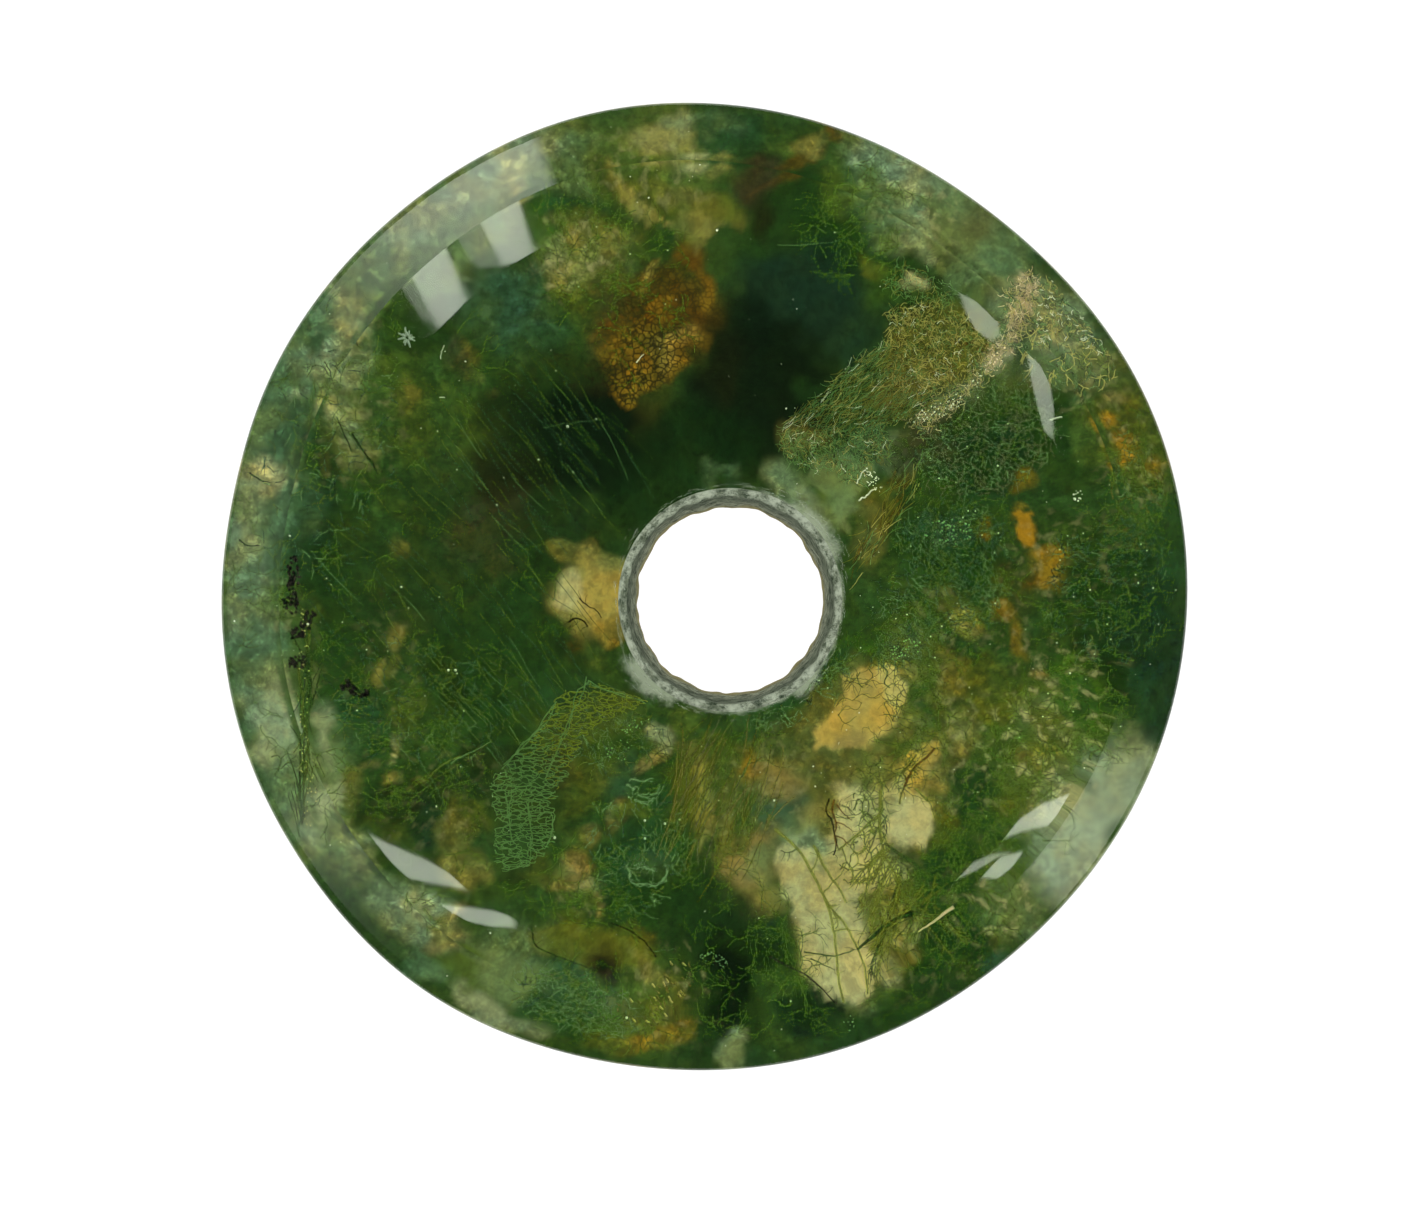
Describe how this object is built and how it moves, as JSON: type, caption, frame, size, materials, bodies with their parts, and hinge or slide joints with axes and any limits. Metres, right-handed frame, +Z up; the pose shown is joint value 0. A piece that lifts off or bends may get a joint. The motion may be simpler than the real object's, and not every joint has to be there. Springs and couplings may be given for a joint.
{
  "type": "moss agate donut",
  "caption": "Flat polished ring of translucent green moss agate with a bevelled upper edge, a flat back and a small through hole, a pendant stone.",
  "frame": {"origin": "under the middle of the outline, on the surface that the flat back lies on", "axes": "+Z up through the thickness, from the flat back to the upper face; the hole's centre is 1.05 mm towards +X and 0.56 mm towards -Y"},
  "size_m": [0.04, 0.04, 0.006],
  "materials": {
    "moss_agate": "polished, translucent"
  },
  "bodies": {
    "root": {"donut": "moss_agate"}
  },
  "joints": []
}
